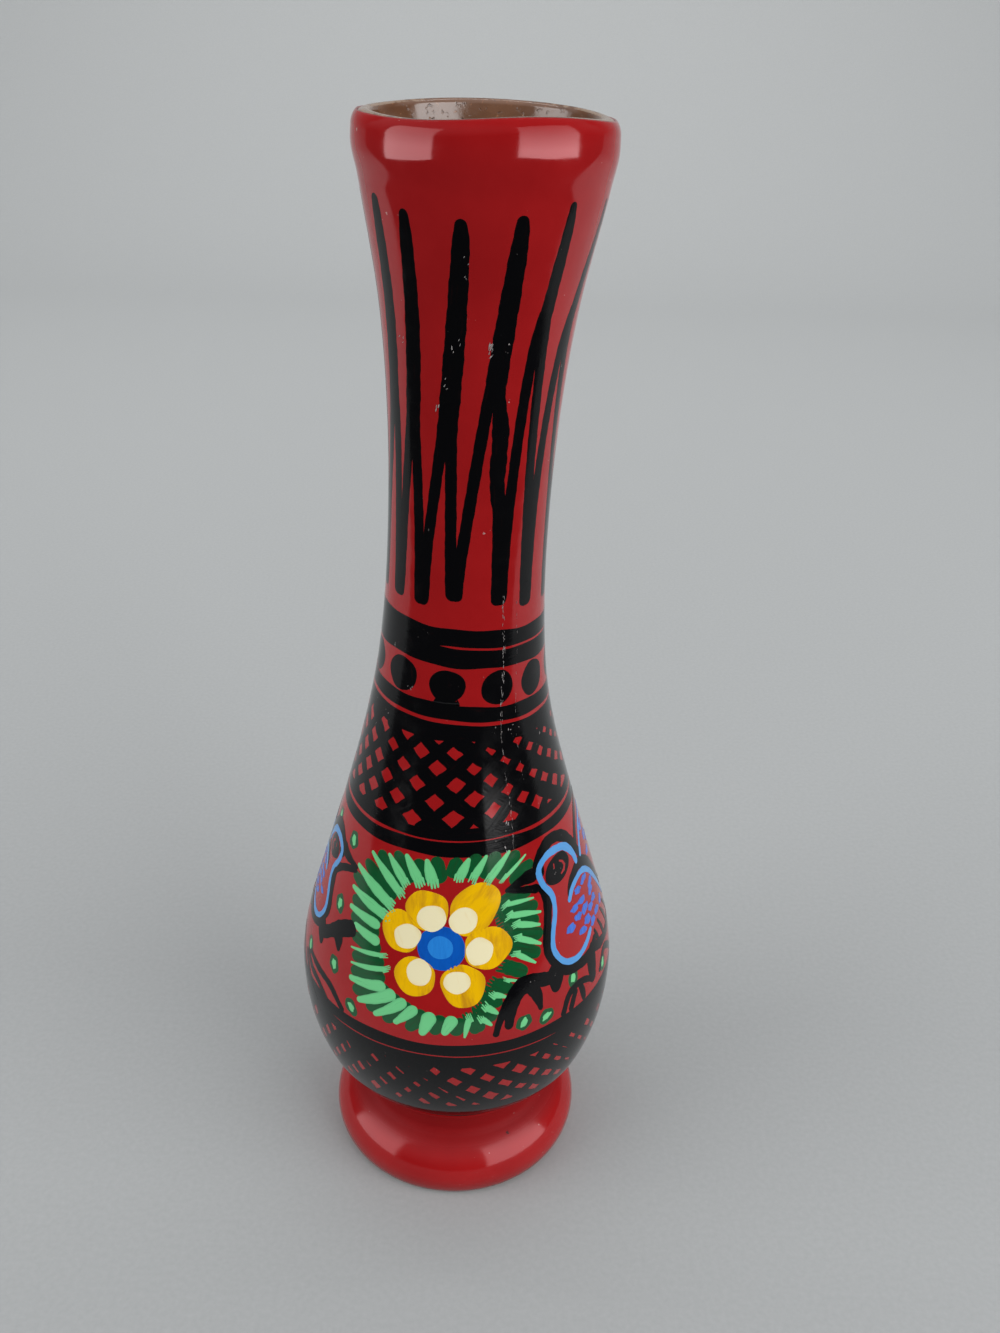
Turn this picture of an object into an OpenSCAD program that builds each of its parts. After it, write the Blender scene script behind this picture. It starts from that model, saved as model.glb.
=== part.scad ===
// Clay bud vase built from luted sections: a rolled foot ring, a round belly, a neck that
// leans a little and a thick lip, held together by slip and covered outside by red enamel.
// Millimetres, +Z up, origin on the table under the middle of the foot.

/* [Foot] */
// Widest diameter of the foot ring
foot_d = 63.8; // [60:0.2:68]
// Height of the foot ring, up to the joint with the belly
foot_h = 16.7; // [15.5:0.1:18]
// Height of the foot's widest line
foot_bulge_h = 5; // [4:0.5:6]
// Outer diameter of the face that stands on the table
foot_base_d = 58.6; // [54:0.2:60]
// Diameter of the hollow under the foot
foot_hollow_d = 34; // [26:0.5:38]

/* [Belly] */
// Diameter of the waist between foot and belly
waist_d = 48.6; // [46:0.2:51]
// Widest diameter of the belly
belly_d = 77.2; // [72:0.2:84]
// Height of the belly's widest line
belly_h = 56; // [52:0.5:60]

/* [Neck] */
// Diameter of the neck where it is slimmest
neck_d = 33.4; // [31:0.2:37]
// Height of the slimmest place
neck_h = 176; // [168:0.5:184]
// Height of the joint between belly and neck
neck_joint_h = 125; // [118:0.5:132]
// Lean of the neck towards +X, in degrees
neck_lean = 1.75; // [0:0.05:2.5]

/* [Lip] */
// Widest diameter of the lip
lip_d = 48.6; // [46:0.2:53]
// Height of the lip's widest line
lip_h = 244.5; // [241:0.5:246]
// Length of the vase along its axis
vase_h = 250; // [249:0.5:253]
// Height of the joint between neck and lip
lip_joint_h = 236; // [230:0.5:238]

/* [Clay] */
// Thickness of the clay wall
wall_t = 4.2; // [3.6:0.1:4.8]
// Thickness of the floor of the belly
floor_t = 6.8; // [5:0.1:8]
// Thickness of a slip joint
slip_t = 0.8; // [0.5:0.1:1.2]
// Thickness of the enamel coat
coat_t = 0.4; // [0.3:0.05:0.6]

/* [Hidden] */
$fn = 96;

clay_colour = "#8a5a3c";
slip_colour = "#a5714f";
enamel_colour = "#a81c20";

// Radii and heights that follow from the sizes above
foot_r = foot_d/2;
foot_base_r = foot_base_d/2;
foot_hollow_r = foot_hollow_d/2;
foot_seat_r = foot_hollow_r - 3;
waist_r = waist_d/2;
waist_h = foot_h + slip_t;
belly_r = belly_d/2;
neck_r = neck_d/2;
lip_r = lip_d/2;
foot_spread = foot_r - waist_r;
foot_rise = foot_h - foot_bulge_h;
foot_flat = 0.75;
floor_h = waist_h + floor_t;
enamel_start_h = 1;
lip_edge_r = lip_r - 0.1;
lip_roll = [2.6, 3.2];
lip_inner_round = 1.2;
arc_steps = 8;
wall_step = 3.5;
cut_size = 4*belly_r;

// The outside between two heights is a smooth curve through a few stations. A share is
// [part of the height, part of the change in radius, steepness against the average slope].
waist_to_belly = [[0.221, 0.259, 2.96], [0.455, 0.748, 1.02]];
belly_to_neck = [[0.183, 0.196, 1.64], [0.467, 0.651, 1.51], [0.70, 0.918, 0.66]];
neck_to_lip = [[0.569, 0.296, 1.13], [0.905, 0.836, 1.60]];

function lerp(a, b, t) = a + (b - a)*t;
function between(h0, r0, h1, r1, shares) = [
    for (s = shares) [lerp(h0, h1, s[0]), lerp(r0, r1, s[1]), s[2]*(r1 - r0)/(h1 - h0)]
];

// Stations are [height, radius, slope of the radius against height]
stations = concat(
    [[waist_h, waist_r, 0]],
    between(waist_h, waist_r, belly_h, belly_r, waist_to_belly),
    [[belly_h, belly_r, 0]],
    between(belly_h, belly_r, neck_h, neck_r, belly_to_neck),
    [[neck_h, neck_r, 0]],
    between(neck_h, neck_r, lip_h, lip_r, neck_to_lip),
    [[lip_h, lip_r, 0]],
    [[vase_h - lip_roll.y, lip_edge_r, -0.08]]
);
last_span = len(stations) - 2;

// Radius of the outside at a height: a cubic between the two stations around it
function span_of(h, i = 0) = i >= last_span || h < stations[i + 1][0] ? i : span_of(h, i + 1);
function cubic(p, q, t) =
    p[1]*(2*t^3 - 3*t^2 + 1) + q[1]*(3*t^2 - 2*t^3)
    + (q[0] - p[0])*(p[2]*(t^3 - 2*t^2 + t) + q[2]*(t^3 - t^2));
function radius_in(p, q, h) = cubic(p, q, (h - p[0])/(q[0] - p[0]));
function radius_at(h) = let (i = span_of(h)) radius_in(stations[i], stations[i + 1], h);
function slope_at(h) = (radius_at(h + 0.05) - radius_at(h - 0.05))/0.1;

// Radius of a surface that lies a depth under the outside, measured square to it
function inset_at(h, depth) = radius_at(h) - depth*sqrt(1 + slope_at(h)^2);
function heights(h0, h1) = let (n = ceil((h1 - h0)/wall_step)) [for (i = [0 : n]) lerp(h0, h1, i/n)];
function wall_line(h0, h1, depth) = [for (h = heights(h0, h1)) [inset_at(h, depth), h]];
function arc(centre, size, from, to) = [
    for (i = [0 : arc_steps])
        let (a = lerp(from, to, i/arc_steps)) centre + [size.x*cos(a), size.y*sin(a)]
];
function reversed(list) = [for (i = [len(list) - 1 : -1 : 0]) list[i]];

// The foot is a bell that runs smoothly into a cove. Both are arcs of flattened circles that turn
// by the same angle, and together they span the way from the widest line to the waist.
arcs_r = (foot_spread^2 + (foot_rise/foot_flat)^2)/(2*foot_spread);
arcs_angle = asin(foot_rise/foot_flat/arcs_r);
bell = 0.8*arcs_r*[1, foot_flat];
cove = 0.2*arcs_r*[1, foot_flat];

// Outside of the foot, a depth under the enamel: a rounded edge at the table, the bell, the cove
function foot_line(depth) = concat(
    arc([foot_base_r, foot_bulge_h], [foot_r - foot_base_r - depth, foot_bulge_h], -90, 0),
    arc(
        [foot_r - bell.x, foot_bulge_h], bell - [depth, depth],
        arcs_angle/arc_steps, arcs_angle
    ),
    arc(
        [waist_r + cove.x, foot_h], cove + [depth, depth],
        180 + arcs_angle*(1 - 1/arc_steps), 180
    )
);

// Outside of the lip's top edge, a depth under the enamel
function lip_edge(depth) = arc(
    [lip_edge_r - lip_roll.x, vase_h - lip_roll.y], lip_roll - [depth, depth], 0, 90
);

// A piece of the neck stands on the leaning joint
module in_neck_frame() {
    translate([0, 0, neck_joint_h]) rotate([0, neck_lean, 0]) translate([0, 0, -neck_joint_h])
        children();
}

// What lies below the leaning joint, with a gap to it
module below_neck_joint(gap) {
    difference() {
        children();
        in_neck_frame()
            translate([-cut_size/2, -cut_size/2, neck_joint_h - gap]) cube(cut_size);
    }
}

// A turned tube of clay wall between two heights
module clay_tube(h0, h1) {
    rotate_extrude()
        polygon(concat(wall_line(h0, h1, coat_t), reversed(wall_line(h0, h1, wall_t + coat_t))));
}

// Rolled coil under the belly, flat below and hollow in the middle
module foot_ring() {
    color(clay_colour) rotate_extrude()
        polygon(concat(foot_line(coat_t), [[foot_seat_r, foot_h], [foot_hollow_r, 0]]));
}

// Slip between the foot ring and the belly
module foot_slip() {
    color(slip_colour) rotate_extrude()
        translate([foot_seat_r, foot_h]) square([waist_r - coat_t - foot_seat_r, slip_t]);
}

// Round body with a closed floor, open at the top where the neck stands on it
module belly() {
    top_h = neck_joint_h + 2;
    color(clay_colour) below_neck_joint(slip_t/2) rotate_extrude()
        polygon(concat(
            [[0, waist_h]],
            wall_line(waist_h, top_h, coat_t),
            reversed(wall_line(floor_h, top_h, wall_t + coat_t)),
            [[0, floor_h]]
        ));
}

// Slip between the belly and the neck
module neck_slip() {
    color(slip_colour) in_neck_frame()
        clay_tube(neck_joint_h - slip_t/2, neck_joint_h + slip_t/2);
}

// Slim flared neck
module neck() {
    color(clay_colour) in_neck_frame()
        clay_tube(neck_joint_h + slip_t/2, lip_joint_h - slip_t/2);
}

// Slip between the neck and the lip
module lip_slip() {
    color(slip_colour) in_neck_frame()
        clay_tube(lip_joint_h - slip_t/2, lip_joint_h + slip_t/2);
}

// Thick coil round the mouth, with a rounded top edge
module lip() {
    foot_of_lip = lip_joint_h + slip_t/2;
    inner_r = inset_at(lip_h, wall_t + coat_t);
    color(clay_colour) in_neck_frame() rotate_extrude()
        polygon(concat(
            wall_line(foot_of_lip, lip_h, coat_t),
            lip_edge(coat_t),
            arc(
                [inner_r + lip_inner_round, vase_h - coat_t - lip_inner_round],
                [lip_inner_round, lip_inner_round], 90, 180
            ),
            reversed(wall_line(foot_of_lip, lip_h, wall_t + coat_t))
        ));
}

// Enamel over the foot and the belly, from just above the table to the neck's joint
module belly_enamel() {
    top_h = neck_joint_h + 2;
    color(enamel_colour) below_neck_joint(0) difference() {
        rotate_extrude()
            polygon(concat(
                foot_line(0), wall_line(waist_h, top_h, 0),
                reversed(wall_line(waist_h, top_h, coat_t)), reversed(foot_line(coat_t))
            ));
        translate([-cut_size/2, -cut_size/2, enamel_start_h - cut_size]) cube(cut_size);
    }
}

// Enamel over the neck and the lip, up to the lip's top
module neck_enamel() {
    color(enamel_colour) in_neck_frame() rotate_extrude()
        polygon(concat(
            wall_line(neck_joint_h, lip_h, 0), lip_edge(0),
            reversed(lip_edge(coat_t)), reversed(wall_line(neck_joint_h, lip_h, coat_t))
        ));
}

foot_ring();
foot_slip();
belly();
neck_slip();
neck();
lip_slip();
lip();
belly_enamel();
neck_enamel();
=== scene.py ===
"""Looks of a hand-painted clay vase: enamel coat, bare clay lip and brushwork, around the fixed frame."""
import math
import random

import bpy
import numpy as np
from mathutils import Matrix, Vector


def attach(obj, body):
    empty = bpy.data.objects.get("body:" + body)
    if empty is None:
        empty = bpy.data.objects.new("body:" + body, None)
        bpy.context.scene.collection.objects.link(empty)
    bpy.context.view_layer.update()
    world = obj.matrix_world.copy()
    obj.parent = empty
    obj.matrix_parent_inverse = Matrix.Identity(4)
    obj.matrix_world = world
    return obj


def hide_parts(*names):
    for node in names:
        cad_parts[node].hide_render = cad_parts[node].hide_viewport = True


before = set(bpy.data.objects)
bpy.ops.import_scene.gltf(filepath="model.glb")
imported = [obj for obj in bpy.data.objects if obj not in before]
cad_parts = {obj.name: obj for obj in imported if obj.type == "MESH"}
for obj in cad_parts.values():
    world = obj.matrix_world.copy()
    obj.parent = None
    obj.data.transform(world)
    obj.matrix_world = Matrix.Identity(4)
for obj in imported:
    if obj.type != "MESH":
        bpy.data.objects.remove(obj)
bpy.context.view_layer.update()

# Sizes of the vase in millimetres, as in the solids
MM = 0.001
FOOT_R, FOOT_BULGE_H = 31.9, 5.0
FOOT_BASE_R = 29.3
FOOT_H, FOOT_FLAT = 16.7, 0.75
WAIST_R, WAIST_H = 24.3, 17.5
BELLY_R, BELLY_H = 38.6, 56.0
NECK_R, NECK_H = 16.7, 176.0
LIP_R, LIP_H = 24.3, 244.5
LIP_EDGE_R, LIP_ROLL, LIP_INNER_ROUND = 24.2, (2.6, 3.2), 1.2
TOP_H = 250.0
WALL_T, COAT_T = 4.2, 0.4
# Where the lip begins, and where its wall runs into the rolled edge
LIP_JOINT_H, LIP_WALL_H = 236.4, 245.7
# The neck leans from its joint on, and the lean comes in below and above it
NECK_JOINT_H, NECK_LEAN, LEAN_EASE = 125.0, math.radians(1.75), 12.0

# Parts of the way between two heights: height, radius, steepness against the average slope
WAIST_TO_BELLY = [(0.221, 0.259, 2.96), (0.455, 0.748, 1.02)]
BELLY_TO_NECK = [(0.183, 0.196, 1.64), (0.467, 0.651, 1.51), (0.7, 0.918, 0.66)]
NECK_TO_LIP = [(0.569, 0.296, 1.13), (0.905, 0.836, 1.6)]

# Thickness of paint, depth to which its edge sinks, and how much higher each further coat lies
FILM_T, FILM_SINK, LEVEL_T = 0.015, 0.015, 0.015

# Heights over which the unevenness of the body comes in and goes out, and that of the rim comes in
BODY_IN, BODY_OUT, RIM_IN = (20, 35), (244, 236), (236, 248)
# Waves of the unevenness: size in millimetres, count in a turn, drift with height, phase
QUARTER = math.pi / 2
BODY_WAVES = [(0.09, 2, 0.02, 0), (0.06, 3, -0.045, 1)]
RIM_WAVES = [(0.16, 3, 0, 0.8), (0.1, 5, 0, 2.2)]
# How far the rim rises all round, and the waves of its height
RIM_RISE = 0.25
RIM_HEIGHT_WAVES = [(-0.05, 1, 0, QUARTER), (0.5, 1, 0, 0), (0.35, 2, 0, QUARTER), (0.25, 2, 0, 0),
                    (0.25, 3, 0, 0), (0.1, 4, 0, 0)]


def between(h0, r0, h1, r1, shares):
    """Stations (height, radius, slope) at shares of the way from one place to the next."""
    mean = (r1 - r0) / (h1 - h0)
    return [(h0 + (h1 - h0) * a, r0 + (r1 - r0) * b, mean * c) for a, b, c in shares]


STATIONS = np.array(
    [(WAIST_H, WAIST_R, 0.0)]
    + between(WAIST_H, WAIST_R, BELLY_H, BELLY_R, WAIST_TO_BELLY)
    + [(BELLY_H, BELLY_R, 0.0)]
    + between(BELLY_H, BELLY_R, NECK_H, NECK_R, BELLY_TO_NECK)
    + [(NECK_H, NECK_R, 0.0)]
    + between(NECK_H, NECK_R, LIP_H, LIP_R, NECK_TO_LIP)
    + [(LIP_H, LIP_R, 0.0), (TOP_H - LIP_ROLL[1], LIP_EDGE_R, -0.08)]
)


def radius(h):
    """Outer radius at a height, from a cubic between the two stations around it."""
    h = np.asarray(h, float)
    i = np.clip(np.searchsorted(STATIONS[:, 0], h, side="right") - 1, 0, len(STATIONS) - 2)
    h0, r0, s0 = np.moveaxis(STATIONS[i], -1, 0)
    h1, r1, s1 = np.moveaxis(STATIONS[i + 1], -1, 0)
    t = (h - h0) / (h1 - h0)
    return (r0 * (2 * t**3 - 3 * t**2 + 1) + r1 * (3 * t**2 - 2 * t**3)
            + (h1 - h0) * (s0 * (t**3 - 2 * t**2 + t) + s1 * (t**3 - t**2)))


def slope(h):
    return (radius(h + 0.05) - radius(h - 0.05)) / 0.1


def stretch(h):
    """Length along the outside for each millimetre of height."""
    return np.sqrt(1 + slope(h) ** 2)


def fade(value, start, end):
    """0 up to the start and 1 past the end, with a soft way between them."""
    x = np.clip((value - start) / (end - start), 0, 1)
    return x * x * (3 - 2 * x)


def waves(rows, theta, h):
    """Sum of the waves round the vase."""
    return sum(size * np.sin(count * theta + drift * h + phase) for size, count, drift, phase in rows)


def shaped(theta, r, h):
    """Points in metres for angles, radii and heights, on the uneven vase with its leaning neck."""
    body = fade(h, *BODY_IN) * fade(h, *BODY_OUT)
    rim = fade(h, *RIM_IN)
    r = r + body * waves(BODY_WAVES, theta, h) + rim * waves(RIM_WAVES, theta, h)
    h = h + rim * (RIM_RISE + waves(RIM_HEIGHT_WAVES, theta, h))
    above = h - NECK_JOINT_H
    entry = np.clip((above + LEAN_EASE) / (2 * LEAN_EASE), 0, 1)
    tilt = NECK_LEAN * entry
    shift = np.where(entry < 1, LEAN_EASE * entry**2, above) * math.sin(NECK_LEAN)
    drop = np.maximum(above, 0) * (1 - math.cos(NECK_LEAN))
    x = shift + r * np.sin(theta) * np.cos(tilt)
    z = h - drop - r * np.sin(theta) * np.sin(tilt)
    return np.stack([x, -r * np.cos(theta), z], axis=-1) * MM


def on_coat(theta, h, lift):
    """Points a lift above the enamel, measured square to it."""
    s = slope(h)
    n = np.sqrt(1 + s**2)
    return shaped(theta, radius(h) + lift / n, h - lift * s / n)


def point_values(piece, name, kind, key, values):
    """Gives each point of a piece a value that its material can use."""
    attribute = piece.data.attributes.new(name, kind, "POINT")
    attribute.data.foreach_set(key, values.astype(np.float32).ravel())


def mesh_object(name, points, faces, material, smooth=None):
    """A mesh in the scene. Faces that aren't smooth keep their edges crisp."""
    mesh = bpy.data.meshes.new(name)
    mesh.from_pydata([tuple(p) for p in points], [], faces)
    smooth = np.array(smooth or [True] * len(faces))
    mesh.polygons.foreach_set("use_smooth", smooth)
    edges = np.zeros(len(mesh.loops), np.int32)
    mesh.loops.foreach_get("edge_index", edges)
    crisp = np.zeros(len(mesh.edges), bool)
    crisp[edges[np.repeat(~smooth, [len(face) for face in faces])]] = True
    mesh.edges.foreach_set("use_edge_sharp", crisp)
    mesh.validate()
    mesh.materials.append(material)
    piece = bpy.data.objects.new(name, mesh)
    bpy.context.scene.collection.objects.link(piece)
    return piece


SEGMENTS = 224
TURN = np.linspace(0, 2 * math.pi, SEGMENTS, endpoint=False)


def turned(name, outline, material):
    """A closed ring turned from an outline of (radius, height) points, or from one for each segment."""
    outline = np.array(outline)
    rows = outline.shape[-2]
    outline = np.broadcast_to(outline, (SEGMENTS, rows, 2))
    grid = shaped(TURN[:, None], outline[..., 0], outline[..., 1])
    faces = [(a, d, c, b) for a, b, c, d in skin_faces(SEGMENTS, rows, loop=True)]
    return mesh_object(name, grid.reshape(-1, 3), faces, material)


def arc(centre, size, start, end, steps=10):
    angles = np.radians(np.linspace(start, end, steps + 1))
    return [(centre[0] + size[0] * math.cos(a), centre[1] + size[1] * math.sin(a)) for a in angles]


def wall_line(h0, h1, depth, step):
    """The outside between two heights, moved in by a depth."""
    heights = np.linspace(h0, h1, max(2, round((h1 - h0) / step) + 1))
    return [(r, h) for r, h in zip(radius(heights) - depth * stretch(heights), heights)]


# The foot's two arcs, a bell and a cove, span the way from its widest line to the waist
FOOT_SPREAD, FOOT_RISE = FOOT_R - WAIST_R, (FOOT_H - FOOT_BULGE_H) / FOOT_FLAT
ARCS_R = (FOOT_SPREAD**2 + FOOT_RISE**2) / (2 * FOOT_SPREAD)
ARCS_ANGLE = math.degrees(math.asin(FOOT_RISE / ARCS_R))
BELL_SHARE, COVE_SHARE = 0.8, 0.2
BELL, COVE = (np.array([1, FOOT_FLAT]) * share * ARCS_R for share in (BELL_SHARE, COVE_SHARE))
# Angles at which the enamel begins on the foot's edge, and at which the bell and the cove go on
COAT_START, BELL_START, COVE_START = -53, 3, 175 + ARCS_ANGLE


def foot_line(depth):
    """Outside of the foot, moved in by a depth: edge at the table, bell, cove."""
    edge_size = (FOOT_R - FOOT_BASE_R - depth, FOOT_BULGE_H)
    edge_arc = arc((FOOT_BASE_R, FOOT_BULGE_H), edge_size, COAT_START, 0)
    bell = arc((FOOT_R - BELL[0], FOOT_BULGE_H), BELL - depth, BELL_START, ARCS_ANGLE, 16)
    cove = arc((WAIST_R + COVE[0], FOOT_H), COVE + depth, COVE_START, 180)
    return edge_arc + bell + cove


def lip_edge(depth, end):
    """The rolled top edge of the lip, moved in by a depth, up to an angle."""
    centre = (LIP_EDGE_R - LIP_ROLL[0], TOP_H - LIP_ROLL[1])
    return arc(centre, (LIP_ROLL[0] - depth, LIP_ROLL[1] - depth), 0, end)


class Film:
    """Paint of one colour: every stroke is a thin closed skin on the coat, and all share one mesh."""

    def __init__(self, colour):
        self.colour = colour
        self.theta, self.height, self.lift, self.top, self.stroke = [], [], [], [], []
        self.faces, self.smooth = [], []
        self.count = 0

    def add(self, theta, height, share, level, along, across, faces, smooth):
        """Adds a grid of points with shares of the thickness, its faces, and which of these are smooth."""
        shape = theta.shape
        tone = random.random()
        share = np.broadcast_to(share, shape).ravel()
        self.theta.append(theta.ravel())
        self.height.append(height.ravel())
        self.lift.append(share * (FILM_T + FILM_SINK + level * LEVEL_T) - FILM_SINK)
        self.top.append(share)
        strokes = [np.broadcast_to(values, shape).ravel() for values in (along, across, tone)]
        self.stroke.append(np.stack(strokes, axis=-1))
        self.faces += [tuple(self.count + v for v in face) for face in faces]
        self.smooth += smooth
        self.count += theta.size

    def piece(self, name, slot):
        points = on_coat(np.concatenate(self.theta), np.concatenate(self.height), np.concatenate(self.lift))
        piece = mesh_object(name, points, self.faces, PAINT[self.colour], self.smooth)
        point_values(piece, "stroke", "FLOAT_VECTOR", "vector", np.concatenate(self.stroke))
        point_values(piece, "top", "FLOAT", "value", np.concatenate(self.top))
        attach(piece, "root")


# Half the flat top of a stroke, place of its underside in shares of its thickness, points across the top
FLAT_HALF, UNDER, ACROSS = 0.985, -0.4, 7


def cross_section(across):
    """Section of a stroke: places from -1 to 1, shares of the thickness, and which faces are smooth."""
    top = [(x, 1.0) for x in np.linspace(-FLAT_HALF, FLAT_HALF, across)]
    below = [(1.0, 0.0), (0.5, UNDER), (0.0, UNDER), (-0.5, UNDER)]
    return np.array([(-1.0, 0.0)] + top + below), [False] + (across - 1) * [True] + 5 * [False]


SECTION, SECTION_SMOOTH = cross_section(ACROSS)


def skin_faces(rows, columns, loop):
    """Faces of a tube with a ring of points per row, closed end to end or with its ends shut."""
    faces = []
    for i in range(rows if loop else rows - 1):
        a, b = i * columns, (i + 1) % rows * columns
        faces += [(a + j, a + (j + 1) % columns, b + (j + 1) % columns, b + j) for j in range(columns)]
    if not loop:
        faces += [tuple(range(columns))[::-1], tuple((rows - 1) * columns + j for j in range(columns))]
    return faces


# Points on a curve for each one that it goes through, and points round a ring
CURVE_SAMPLES, RING_STEPS = 12, 240
# Places along the round end of a stroke, as shares of it, and the step further on
END_SHARES, STROKE_STEP = 1 - np.cos(np.linspace(0.12, QUARTER, 6))[:-1], 0.9
# Tremor of the hand: radians for each millimetre of a stroke
TREMOR_SLOW, TREMOR_FAST = 0.9, 2.3
PHASES = 6


def any_phase():
    """A random phase for a wave, in radians."""
    return random.random() * PHASES


def curve_through(points):
    """A smooth curve through a few points, as a dense row of points."""
    p = np.array(points, float)
    p = np.vstack([2 * p[0] - p[1], p, 2 * p[-1] - p[-2]])
    t = np.linspace(0, 1, CURVE_SAMPLES, endpoint=False)[:, None]
    parts = []
    for a, b, c, d in zip(p, p[1:], p[2:], p[3:]):
        parts.append(0.5 * (2 * b + (c - a) * t + (2 * a - 5 * b + 4 * c - d) * t**2
                            + (3 * b - a - 3 * c + d) * t**3))
    return np.vstack(parts + [p[-2:-1]])


def stroke(film, points, widths, level=0, tremor=0.05):
    """One pull of the brush through (degrees, height) points, with a width in millimetres at each."""
    widths = np.broadcast_to(widths, len(points))
    line = curve_through([(math.radians(a), h, w) for (a, h), w in zip(points, widths)])
    size = radius(line[:, 1].mean())
    moves = np.diff(line, axis=0) * np.array([size, stretch(line[:, 1].mean()), 0])
    along = np.concatenate([[0], np.cumsum(np.hypot(moves[:, 0], moves[:, 1]))])
    length = along[-1]
    caps = min(line[0, 2], length) / 2, min(line[-1, 2], length) / 2
    inner = np.linspace(caps[0], length - caps[1], max(2, round((length - sum(caps)) / STROKE_STEP)))
    places = np.concatenate([END_SHARES * caps[0], inner, length - END_SHARES[::-1] * caps[1]])
    theta, h, width = (np.interp(places, along, line[:, k]) for k in range(3))
    phase = any_phase()
    slow, fast = np.sin(places * TREMOR_SLOW + phase), np.sin(places * TREMOR_FAST + 2 * phase)
    width = width * (1 + tremor * slow + tremor * fast)
    near_start = np.clip(1 - places / caps[0], 0, 1)
    near_end = np.clip(1 - (length - places) / caps[1], 0, 1)
    half = width / 2 * np.sqrt(np.clip(1 - np.maximum(near_start, near_end) ** 2, 0.001, 1))
    r, m = radius(h), stretch(h)
    du, dv = np.gradient(theta) * r, np.gradient(h) * m
    norm = np.hypot(du, dv) + 1e-9
    side = half[:, None] * SECTION[None, :, 0]
    theta = theta[:, None] + side * (-dv / norm / r)[:, None]
    h = h[:, None] + side * (du / norm / m)[:, None]
    faces = skin_faces(len(places), len(SECTION), loop=False)
    smooth = SECTION_SMOOTH * (len(places) - 1) + [False, False]
    film.add(theta, h, SECTION[:, 1], level, places[:, None], SECTION[None, :, 0], faces, smooth)


def ring(film, low, high, across=ACROSS):
    """A band right round the vase between two edges, each a function of the angle in radians."""
    section, smooth = cross_section(across)
    theta = np.linspace(0, 2 * math.pi, RING_STEPS, endpoint=False)
    bottom, top = low(theta), high(theta)
    share = (section[:, 0] + 1) / 2
    h = bottom[:, None] + (top - bottom)[:, None] * share
    theta = np.broadcast_to(theta[:, None], h.shape)
    faces = skin_faces(RING_STEPS, len(section), loop=True)
    along = theta * BELLY_R
    film.add(theta, h, section[:, 1], 0, along, section[None, :, 0], faces, smooth * RING_STEPS)


# Rings of a dab, from its middle over the edge and back below: share of the radius, height
DAB_RINGS = np.array([
    (0.02, 1.0), (0.25, 1.0), (0.5, 1.0), (0.75, 1.0), (0.99, 1.0), (1.0, 0.0), (0.5, UNDER), (0.02, UNDER),
])
DAB_TOP_RINGS = 4
# Waves round the rim of a dab
DAB_WAVES = (2, 3, 5)


def dab(film, centre, size, turn=0.0, level=0, egg=0.0, ragged=0.04, sides=36):
    """A blob of paint round (degrees, height), with half sizes in millimetres and a turn in degrees."""
    phi = np.linspace(0, 2 * math.pi, sides, endpoint=False)
    bulges = [(k, random.uniform(0.4, 1.0) * ragged, any_phase()) for k in DAB_WAVES]
    rim = 1 + sum(a * np.sin(k * phi + p) for k, a, p in bulges)
    x = np.cos(phi) * size[0] * rim * (1 + egg * np.sin(phi))
    y = np.sin(phi) * size[1] * rim
    c, s = math.cos(math.radians(turn)), math.sin(math.radians(turn))
    u = DAB_RINGS[:, 0, None] * (x * c - y * s)
    v = DAB_RINGS[:, 0, None] * (x * s + y * c)
    h = centre[1] + v / stretch(centre[1])
    theta = math.radians(centre[0]) + u / radius(h)
    faces = [f[::-1] for f in skin_faces(len(DAB_RINGS), sides, loop=False)]
    smooth = [i < DAB_TOP_RINGS for i in range(len(DAB_RINGS) - 1) for _ in range(sides)] + [True, False]
    along, across = DAB_RINGS[:, 0, None] * y, DAB_RINGS[:, 0, None] * x / size[0]
    film.add(theta, h, DAB_RINGS[:, 1, None], level, along, across, faces, smooth)


def around(centre, u, v):
    """The (degrees, height) that lies u to the right of a centre and v above it, in millimetres."""
    h = centre[1] + v / float(stretch(centre[1]))
    return centre[0] + math.degrees(u / float(radius(h))), h


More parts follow.
